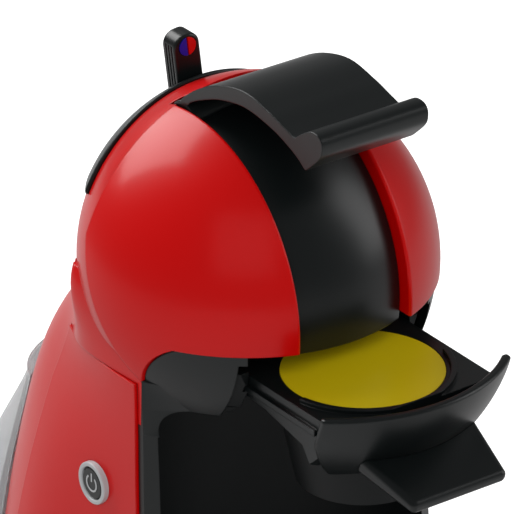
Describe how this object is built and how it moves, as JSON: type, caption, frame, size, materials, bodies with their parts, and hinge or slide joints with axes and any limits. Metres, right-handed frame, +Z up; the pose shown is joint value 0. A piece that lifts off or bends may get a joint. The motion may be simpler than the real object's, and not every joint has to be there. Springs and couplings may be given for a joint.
{
  "type": "pod coffee machine",
  "caption": "Compact pod coffee machine with a round head, lock handle, hot/cold lever, sliding capsule drawer, cup bay, lift-off water tank and pull-out drip tray.",
  "frame": {"origin": "on the table, under the middle of the machine's bounding box with the capsule drawer open as at rest", "axes": "+X to the machine's own right as seen from its front, -Y towards the user, +Z up"},
  "size_m": [0.1598, 0.232, 0.2927],
  "materials": {
    "red_gloss": "gloss",
    "black_satin": "satin",
    "black_matte": "matte",
    "capsule_plastic": "satin",
    "capsule_foil": "satin",
    "mark_blue": "gloss",
    "mark_red": "gloss",
    "ring_grey": "satin",
    "steel": "brushed",
    "aluminium": "cast",
    "rubber": "matte",
    "tank_clear": "clear plastic",
    "inner_plastic": "matte",
    "board_green": "matte"
  },
  "bodies": {
    "housing": {"right_side_shell": "red_gloss", "left_side_shell": "red_gloss", "rear_housing": "red_gloss", "right_side_panel": "red_gloss", "left_side_panel": "red_gloss", "rear_top_cover": "black_satin", "front_cover": "black_satin", "right_bay_frame": "black_satin", "left_bay_frame": "black_satin", "cup_bay_liner": "black_matte", "head_chassis": "inner_plastic", "handle_hinge_pin": "steel", "hinge_pin_bosses": "inner_plastic", "selector_valve": "black_matte", "drawer_rails": "black_matte", "thermoblock": "aluminium", "thermostats": "steel", "pump": "inner_plastic", "pump_mounts": "rubber", "pump_bracket": "inner_plastic", "suction_hose": "rubber", "pressure_hose": "rubber", "button_ring": "ring_grey", "button_spring": "steel", "switch_board": "board_green", "tank_socket": "black_matte", "base_housing": "black_matte", "base_plate": "black_matte", "feet": "rubber", "base_screws": "steel", "cord_gland": "rubber"},
    "handle": {"lock_handle": "black_satin"},
    "injector": {"injector_plate": "black_matte", "injector_seal": "rubber", "injector_needle": "steel"},
    "lever": {"selector_lever": "black_satin", "cold_mark": "mark_blue", "hot_mark": "mark_red", "lever_spindle": "steel"},
    "drawer": {"drawer_front": "black_satin", "drawer_tray": "black_satin", "drawer_tongue": "black_satin", "capsule_cup": "capsule_plastic", "capsule_lid": "capsule_foil", "capsule_holder": "black_matte"},
    "button": {"button_cap": "black_satin"},
    "tank": {"water_tank": "tank_clear", "tank_valve": "black_matte", "tank_seal": "rubber"},
    "tank_lid": {"tank_lid": "tank_clear"},
    "drip_tray": {"drip_tray": "black_matte"},
    "cup_grid": {"cup_grid": "black_satin"}
  },
  "joints": [
    {"name": "handle_hinge", "type": "hinge", "parent": "housing", "child": "handle", "pos_m": [0, 0.0055, 0.269], "axis": [1, 0, 0], "range_deg": [0, 24]},
    {"name": "injector_slide", "type": "slide", "parent": "housing", "child": "injector", "axis": [0, 0, -1], "range_m": [0, 0.0075]},
    {"name": "lever_swing", "type": "hinge", "parent": "housing", "child": "lever", "pos_m": [0, 0.0275, 0.257], "axis": [0, 1, 0], "range_deg": [-7, 21]},
    {"name": "drawer_slide", "type": "slide", "parent": "housing", "child": "drawer", "axis": [0, -1, 0], "range_m": [-0.04, 0.05]},
    {"name": "button_press", "type": "slide", "parent": "housing", "child": "button", "axis": [1, 0, 0], "range_m": [0, 0.0015], "stiffness_N_per_m": 400, "deforming": ["button_spring"]},
    {"name": "tank_lift", "type": "slide", "parent": "housing", "child": "tank", "axis": [0, 0, 1], "range_m": [0, 0.16]},
    {"name": "tank_lid_hinge", "type": "hinge", "parent": "tank", "child": "tank_lid", "pos_m": [0, 0.0886, 0.1566], "axis": [-1, 0, 0], "range_deg": [0, 100]},
    {"name": "drip_tray_slide", "type": "slide", "parent": "housing", "child": "drip_tray", "axis": [0, -1, 0], "range_m": [0, 0.1]},
    {"name": "cup_grid_lift", "type": "slide", "parent": "drip_tray", "child": "cup_grid", "axis": [0, 0, 1], "range_m": [0, 0.03]}
  ],
  "couplings": [
    {"joint": "injector_slide", "follows": "handle_hinge", "m_per_rad": 0.01767}
  ]
}
